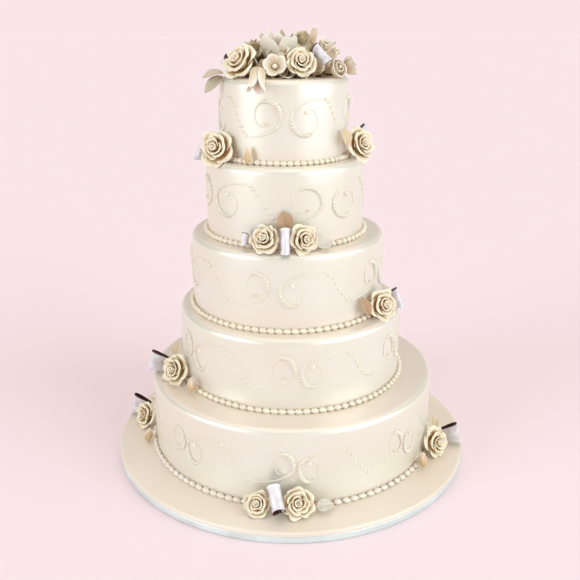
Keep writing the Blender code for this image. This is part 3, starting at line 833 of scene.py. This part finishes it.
class CAKE_OT_scrolls(bpy.types.Operator):
    """Pipe the scrolls on the walls of the tiers"""

    bl_idname = "cake.scrolls"
    bl_label = "Piped scrolls"

    def execute(self, context):
        sizes, colours = chosen(context)
        finish = piped_icing("piped_scroll", colours.piping)
        rng = np.random.default_rng(sizes.seed)
        drop = ball(8, 6)
        for number in range(1, 6):
            pitch = 2 * pi / SCROLLS[number - 1]
            length = pitch * TIER_RADIUS[number - 1] * SCROLL_SPAN[number - 1]
            head = HEAD_REACH[number - 1] * length
            scrolls = []
            for turn in range(SCROLLS[number - 1]):
                flat = join([self.stroke(length, head, sizes, False),
                             self.stroke(length, head, sizes, True),
                             *self.drops(drop, length, head, sizes, rng)])
                scrolls.append(wrap(flat, number, radians(SCROLL_START[number - 1]) + pitch * turn))
            settle(join(scrolls), f"scrolls_{number}", [finish], f"tier_{number}")
        discard(drop)
        return {"FINISHED"}

    def stroke(self, length, head, sizes, turned):
        """One half of a scroll as a tapering tube, laid flat and pressed a little."""
        curve = bpy.data.curves.new("stroke", "CURVE")
        curve.dimensions = "3D"
        curve.bevel_depth = 1
        curve.bevel_resolution = 2
        curve.use_fill_caps = True
        rows = scroll_half(length, head)
        line = curve.splines.new("POLY")
        line.points.add(len(rows) - 1)
        for point, (along, up, thick) in zip(line.points, rows):
            point.co = (length - along, -up, 0, 1) if turned else (along, up, 0, 1)
            point.radius = thick * sizes.line / 2
        guide = bpy.data.objects.new("stroke", curve)
        bpy.context.scene.collection.objects.link(guide)
        pick(guide)
        bpy.ops.object.convert(target="MESH")
        stroke = bpy.context.object
        stroke.data.transform(move((0, 0, 0.25 * MM)) @ stretch(1, 1, 0.75))
        return stroke

    def drops(self, drop, length, head, sizes, rng):
        """Feathered drops along the thick side of each head, and the dots between the halves."""
        parts = []
        rows = scroll_half(length, head)[FEATHERED]
        for turned in (False, True):
            for first, second in zip(rows, rows[1:]):
                along, up, thick = (first + second) / 2
                ahead, rise, _ = second - first
                lean = np.arctan2(rise, ahead) + radians(FEATHER_LEAN)
                if turned:
                    along, up = length - along, -up
                place = (move((along, up, sizes.line * 0.16)) @ Matrix.Rotation(lean, 4, "Z")
                         @ stretch(*(thick * sizes.line * share for share in FEATHER_SIZE)))
                parts.append(twin(drop, place))
        arch = ARCH_REACH * length
        for share in np.linspace(0.12, 0.88, DOTS):
            along = arch + (length - 2 * arch) * share
            up = SCROLL_HALF_HEIGHT * cos(pi * share)
            size = DOT_RADIUS * rng.uniform(0.75, 1.1)
            dot = stretch(size * 1.25, size, size * 0.9)
            parts.append(twin(drop, move((along, up, 0.3 * MM)) @ dot))
        return parts


def wrap(piece, number, start):
    """Bend a piece that lies flat round a tier's wall, from an angle on."""
    along, up, out = points_of(piece).T
    angle = start + along / TIER_RADIUS[number - 1]
    reach = TIER_RADIUS[number - 1] + out
    x, y = TIER_DRIFT[number - 1] + reach * np.sin(angle), -reach * np.cos(angle)
    put_points(piece, np.stack([x, y, tier_foot(number) + SCROLL_MIDDLE + up], axis=1))
    return piece


class CAKE_OT_beads(bpy.types.Operator):
    """Pipe a ring of beads round the foot of every tier"""

    bl_idname = "cake.beads"
    bl_label = "Bead borders"

    def execute(self, context):
        sizes, colours = chosen(context)
        finish = piped_icing("piped_bead", colours.beads)
        board_finish = piped_icing("piped_board_bead", colours.board)
        rng = np.random.default_rng(sizes.seed + 1)
        bead = self.master()
        for number in range(1, 6):
            count, reach = BEADS[number - 1], TIER_RADIUS[number - 1] + sizes.bead * BEAD_OUT
            middle = (TIER_DRIFT[number - 1], 0, tier_foot(number) + sizes.bead * BEAD_UP)
            beads = []
            for turn in range(count):
                height = sizes.bead * rng.uniform(0.93, 1.05)
                angle = 2 * pi * turn / count + rng.uniform(-0.003, 0.003)
                place = (move(middle) @ Matrix.Rotation(angle, 4, "Z")
                         @ move((0, -reach, 0))
                         @ Matrix.Rotation(rng.uniform(0.05, 0.3), 4, "Y")
                         @ stretch(pi * reach / count * BEAD_OVERLAP, height * BEAD_HALF_DEPTH,
                                   height * BEAD_HALF_HEIGHT))
                beads.append(twin(bead, place))
            settle(join(beads), f"beads_{number}", [finish if number > 1 else board_finish],
                   f"border_{number}", smooth=80)
        discard(bead)
        return {"FINISHED"}

    def master(self):
        """A round bead drawn out to a tail on one side."""
        bead = ball(10, 6)
        mode("EDIT")
        bpy.ops.mesh.select_all(action="DESELECT")
        mode("OBJECT")
        for vert in bead.data.vertices:
            vert.select = vert.co.x > 0.5
        mode("EDIT")
        bpy.ops.transform.resize(value=BEAD_TAIL, center_override=(0, 0, -0.3))
        mode("OBJECT")
        return bead


class CAKE_OT_roses(bpy.types.Operator):
    """Model the sugar roses petal by petal"""

    bl_idname = "cake.roses"
    bl_label = "Sugar roses"

    def execute(self, context):
        sizes, colours = chosen(context)
        finish = petal_finish(colours, "rose")
        rng = np.random.default_rng(sizes.seed + 2)
        sheet, roll = flat_sheet(*PETAL_CELLS), flat_sheet(40, 8)
        for name, (number, azimuth, out, up, radius, faced, tilt, opening) in ROSES.items():
            length, direction = ROSE_DEPTH * radius, aim(faced, tilt)
            root = beside_tier(number, azimuth, out, up) - direction * length * MM * HEAD_SHARE
            flower = petals(sheet, ROSE_LAYERS, rng, opening, roll)
            set_flower(flower, name, facing(root, direction), radius, length, finish)
        for name, (x, y, up, radius, length, azimuth, tilt) in TOP_ROSES.items():
            flower = petals(sheet, ROSE_LAYERS, rng, spiral=roll)
            place = facing(on_top(x, y, up), aim(azimuth, tilt))
            set_flower(flower, name, place, radius, length, finish)
        discard(sheet, roll)
        return {"FINISHED"}


def set_flower(flower, name, place, radius, length, finish, middle=()):
    """Bring a flower to its size and place, give it thickness and put it in place of its solid."""
    flower.data.transform(place @ stretch(radius * MM, radius * MM, length * MM))
    finish_sheet(flower)
    settle(join([flower, *middle]), f"sugar_{name}", [finish], name)


class CAKE_OT_blossoms(bpy.types.Operator):
    """Model the blossoms, the buds and the curl"""

    bl_idname = "cake.blossoms"
    bl_label = "Blossoms and buds"

    def execute(self, context):
        sizes, colours = chosen(context)
        finishes = {family: petal_finish(colours, family) for family in ("white", "grey", "shaded_olive")}
        rng = np.random.default_rng(sizes.seed + 3)
        sheet, roll = flat_sheet(*PETAL_CELLS), flat_sheet(30, 6)
        for name, (kind, family, x, y, up, radius, length, azimuth, tilt) in TOP_BLOOMS.items():
            spiral = roll if kind in ("cup", "tall") else None
            flower = petals(sheet, BLOOM_LAYERS[kind], rng, spiral=spiral)
            place = facing(on_top(x, y, up), aim(azimuth, tilt))
            middle = [self.button(place, radius * MM, length * MM)] if kind == "daisy" else []
            finish = finishes[family]
            set_flower(flower, name, place, radius, length, finish, middle)
        finish = sugar_petal("petal_bud", colours.rose_lip, colours.bud, colours.rose_deep)
        for name, (number, azimuth, out, up, radius, length, tilt) in BUDS.items():
            bud = petals(sheet, BLOOM_LAYERS["bud"], rng, spiral=roll)
            place = facing(beside_tier(number, azimuth, out, up), aim(azimuth, tilt))
            set_flower(bud, name, place, radius, length, finish)
        x, y, up, radius, length, azimuth, tilt = TOP_CURL
        curl = shape(flat_sheet(6, 16), self.curl)
        place = facing(on_top(x, y, up), aim(azimuth, tilt))
        set_flower(curl, "top_curl", place, radius, length, finishes["white"])
        discard(sheet, roll)
        return {"FINISHED"}

    def button(self, place, radius, length):
        """The round middle of an open blossom."""
        button = ball(20, 12)
        button.data.transform(place @ move((0, 0, length * 0.42))
                              @ stretch(radius * 0.24, radius * 0.24, radius * 0.2))
        return button

    @staticmethod
    def curl(u, v):
        """Rule of a thin petal tip that stands up and curls over."""
        width = 0.9 * np.sin(pi * (0.08 + 0.84 * v)) ** 0.7
        over = np.maximum(v - CURL_OVER, 0)
        bend = pi / 2 + 4.2 * over
        back = np.where(over > 0, 0.55 * np.cos(bend), 0)
        rise = np.where(over > 0, CURL_OVER - 0.13 + 0.13 * np.sin(bend) + 0.96 * over, v)
        return u * width, back - 0.35 * (1 - u ** 2) * width, rise


class CAKE_OT_filler(bpy.types.Operator):
    """Tuck small curled petals between the flowers on top, and dark leaves of painted shade round
    their foot
    """

    bl_idname = "cake.filler"
    bl_label = "Filling petals"

    def execute(self, context):
        sizes, colours = chosen(context)
        rng = np.random.default_rng(sizes.seed + 6)
        sheet = flat_sheet(*PETAL_CELLS)
        groups = {"shaded_olive": [], "rose": [], "white": [], "shade": []}
        for number in range(FILLERS):
            share, turn = (number + 0.5) / FILLERS, number * FILLER_TURN
            reach = FILLER_REACH * share ** 0.5
            up = 2 + FILLER_HEIGHT * (1 - share) * rng.uniform(0.3, 1)
            place = on_top(reach * sin(turn), max(-38, -reach * cos(turn)), up)
            family = FILLER_COLOURS[number % len(FILLER_COLOURS)]
            groups[family].append(self.petal(sheet, place, turn, FILLER, rng))
        # Dark leaves of painted shade round the foot of the bunch
        for number in range(FOOT_LEAVES):
            turn = 2 * pi * (number + rng.uniform(-0.3, 0.3)) / FOOT_LEAVES
            reach = rng.uniform(*(FOOT_REACH_FRONT if cos(turn) > 0 else FOOT_REACH_BACK))
            place = on_top(reach * sin(turn), -reach * cos(turn), 2)
            groups["shade"].append(self.petal(sheet, place, turn, FOOT_LEAF, rng))
        for family, parts in groups.items():
            filler = finish_sheet(join(parts))
            settle(filler, f"filling_{family}", [petal_finish(colours, family)])
        discard(sheet)
        return {"FINISHED"}

    def petal(self, sheet, place, turn, kind, rng):
        """One small petal, drawn within the ranges of its kind."""
        swing, tilts, lengths, spreads, ruffle, line = kind
        direction = aim(np.degrees(turn) + rng.uniform(-swing, swing), rng.uniform(*tilts))
        size = rng.uniform(*lengths) * MM
        rule = petal_rule(rng.uniform(0, 360), rng.uniform(*spreads), 0.7, 0.35, 0.1, ruffle, line,
                          1.7, rng.uniform(0, 6))
        petal = shape(twin(sheet), rule)
        petal.data.transform(facing(place, direction) @ stretch(size, size, size))
        return petal


class CAKE_OT_ribbons(bpy.types.Operator):
    """Fold the ribbon loops"""

    bl_idname = "cake.ribbons"
    bl_label = "Ribbon loops"

    def execute(self, context):
        sizes, colours = chosen(context)
        shades = colours.ribbon, colours.ribbon_sheen_shade
        # The inside of each loop and the band along its top are painted shade
        outside = satin("ribbon_outside", *shades, colours.ribbon_inside_shade, 0.3)
        plain = satin("ribbon_plain", *shades, colours.ribbon, 0.3)
        inside = satin("ribbon_inside_shade", *[colours.ribbon_inside_shade] * 3, 0.45)
        rng = np.random.default_rng(sizes.seed + 4)
        strip = flat_sheet(8, 48)
        for name, (number, azimuth, out, up, length, width, tilt, lean) in RIBBONS.items():
            place = upright(beside_tier(number, azimuth, out, up), azimuth, tilt, lean)
            opening = sizes.loop * LOOP_OPENING.get(name, LEDGE_OPENING)
            finishes = inside, plain if name in PLAIN_EDGED else outside
            self.loop(strip, name, length * MM, width * MM, opening, place, finishes, rng)
        for name, (x, y, up, length, width, azimuth, tilt, lean) in TOP_RIBBONS.items():
            place = upright(on_top(x, y, up), azimuth, tilt, lean)
            finishes = inside, outside
            self.loop(strip, name, length * MM, width * MM, sizes.loop, place, finishes, rng)
        discard(strip)
        return {"FINISHED"}

    def loop(self, strip, name, length, width, opening, place, finishes, rng):
        """One loop: out from its pinched root, round the bend and back."""
        phase = rng.uniform(0, 2 * pi)

        def rule(u, v):
            angle = 2 * pi * v
            along = (1 - np.cos(angle)) / 2
            crease = 0.5 * MM * np.sin(2.5 * pi * u + phase) * (1 - along)
            bulge = opening * np.sin(angle) * (0.5 + 0.6 * along) + crease
            flare = 0.6 * MM * np.abs(u) ** 3 * np.sign(np.sin(angle))
            cut = SLANT_CUT * np.clip(-u, 0, 1) ** 2 * along ** 2 if name == SLANTED else 0
            return bulge + flare, (along - 0.5) * length, u * width * (0.3 + 0.2 * along) + cut
        loop = shape(twin(strip), rule)
        loop.data.transform(place)
        for finish in finishes:
            loop.data.materials.append(finish)
        finish_sheet(loop, material_offset=1)
        indices = [face.material_index for face in loop.data.polygons]
        settle(loop, f"satin_{name}", finishes, name)
        loop.data.polygons.foreach_set("material_index", indices)


class CAKE_OT_leaves(bpy.types.Operator):
    """Shape the sugar leaves"""

    bl_idname = "cake.leaves"
    bl_label = "Leaves"

    def execute(self, context):
        finishes = {kind: sugar_leaf(f"leaf_{kind}", *tones, kind == "frost")
                    for kind, tones in LEAF_TONES.items()}
        blade = flat_sheet(12, 18)
        for name, (number, azimuth, out, up, *size, faced, tilt, roll, kind) in LEAVES.items():
            place = facing(beside_tier(number, azimuth, out, up), aim(faced, tilt), roll)
            leaf = self.leaf(blade, *(side * MM for side in size), place)
            settle(leaf, f"sugar_{name}", [finishes[kind]], name)
        spray = []
        for base, tip, normal, width in TOP_SPRAY:
            root, end = on_top(*base), on_top(*tip)
            ahead = (end - root).normalized()
            face = Vector(normal)
            face = (face - ahead * face.dot(ahead)).normalized()
            turn = Matrix((ahead.cross(face), ahead, face)).transposed()
            place = move((root + end) / 2) @ turn.to_4x4()
            spray.append(self.leaf(blade, (end - root).length, width * MM, place))
        settle(join(spray), "sugar_top_leaf", [finishes["pale"]], "top_leaf")
        discard(blade)
        return {"FINISHED"}

    def leaf(self, blade, length, width, place):
        """One leaf along Y: pointed, folded along its rib and curled back at its tip."""
        def rule(u, v):
            breadth = np.sin(pi * np.clip(v, 0, 1) ** 0.85) ** 0.75 + 0.03
            fold = 0.16 * np.abs(u) * width * breadth
            ripple = 0.03 * width * np.sin(9 * v + 2 * np.sign(u)) * u ** 2
            return (u * width / 2 * breadth, (v - 0.5) * length,
                    fold + ripple - 0.22 * length * (v - 0.4) ** 2)
        leaf = shape(twin(blade), rule)
        leaf.data.transform(place)
        return finish_sheet(leaf, LEAF_THICKNESS)


class CAKE_OT_stage(bpy.types.Operator):
    """Set the floor, the lights and the camera"""

    bl_idname = "cake.stage"
    bl_label = "Stage"

    def execute(self, context):
        scene = context.scene
        _, colours = chosen(context)
        pick()
        bpy.ops.mesh.primitive_circle_add(vertices=64, radius=30, fill_type="TRIFAN",
                                          location=(0, 0, -0.2 * MM))
        floor = bpy.context.object
        floor.name = "floor"
        floor.data.materials.append(Graph("backdrop").finish(
            Base_Color=colours.floor, Roughness=0.9, Specular_IOR_Level=0.0))

        sky = Graph("studio", "worlds", "Background")
        way = sky.add("ShaderNodeTexCoord", {})
        across, up = (sky.add("ShaderNodeSeparateXYZ", {0: way}, axis) for axis in (0, 2))
        pink = tuple(colours.backdrop)
        bands = sky.ramp(up, (0, pink), (HORIZON, pink), *SKY)
        shade = sky.ramp(across * 0.5 + 0.5, *SIDES)
        above = sky.ramp(up, (HORIZON, 0), (SKY_FROM, 1))
        scene.world = sky.finish(Color=sky.mix(above, bands, shade, "MULTIPLY"))
        for name, (azimuth, elevation, spread, power) in SUNS.items():
            light = bpy.data.lights.new(name, "SUN")
            light.energy = power
            light.color = SUN_COLOUR
            light.angle = radians(spread)
            lamp = bpy.data.objects.new(name, light)
            lamp.rotation_mode = "QUATERNION"
            lamp.rotation_quaternion = aim(azimuth, elevation).to_track_quat("Z", "Y")
            lamp.location = aim(azimuth, elevation) * 2
            scene.collection.objects.link(lamp)

        lens = bpy.data.cameras.new("camera")
        lens.sensor_width = 36
        lens.lens = CAMERA_LENS
        camera = bpy.data.objects.new("camera", lens)
        camera.location = CAMERA_PLACE
        camera.rotation_euler = (radians(90 - CAMERA_DOWN), 0, 0)
        scene.collection.objects.link(camera)
        scene.camera = camera
        scene.view_settings.view_transform = "Standard"
        return {"FINISHED"}


class CAKE_PT_panel(bpy.types.Panel):
    """Sizes, colours and steps of the cake"""

    bl_idname = "CAKE_PT_panel"
    bl_label = "Tiered cake"
    bl_space_type = "VIEW_3D"
    bl_region_type = "UI"
    bl_category = "Cake"

    def draw(self, context):
        for settings in (context.scene.cake_sizes, context.scene.cake_colours):
            column = self.layout.column(align=True)
            for name in type(settings).__annotations__:
                column.prop(settings, name)
        for operator in STEPS:
            self.layout.operator(operator.bl_idname)


STEPS = (CAKE_OT_board, CAKE_OT_tiers, CAKE_OT_scrolls, CAKE_OT_beads, CAKE_OT_roses,
         CAKE_OT_blossoms, CAKE_OT_filler, CAKE_OT_ribbons, CAKE_OT_leaves, CAKE_OT_stage)
CLASSES = (CakeSizes, CakeColours, *STEPS, CAKE_PT_panel)


def register():
    """Add the classes and the scene's settings."""
    for kind in CLASSES:
        bpy.utils.register_class(kind)
    bpy.types.Scene.cake_sizes = bpy.props.PointerProperty(type=CakeSizes)
    bpy.types.Scene.cake_colours = bpy.props.PointerProperty(type=CakeColours)


def unregister():
    """Take the settings and the classes away again."""
    del bpy.types.Scene.cake_colours
    del bpy.types.Scene.cake_sizes
    for kind in reversed(CLASSES):
        bpy.utils.unregister_class(kind)


def main():
    """Register the add-on and build every piece in order."""
    register()
    for step in STEPS:
        group, name = step.bl_idname.split(".")
        getattr(getattr(bpy.ops, group), name)()


if __name__ == "__main__":
    main()
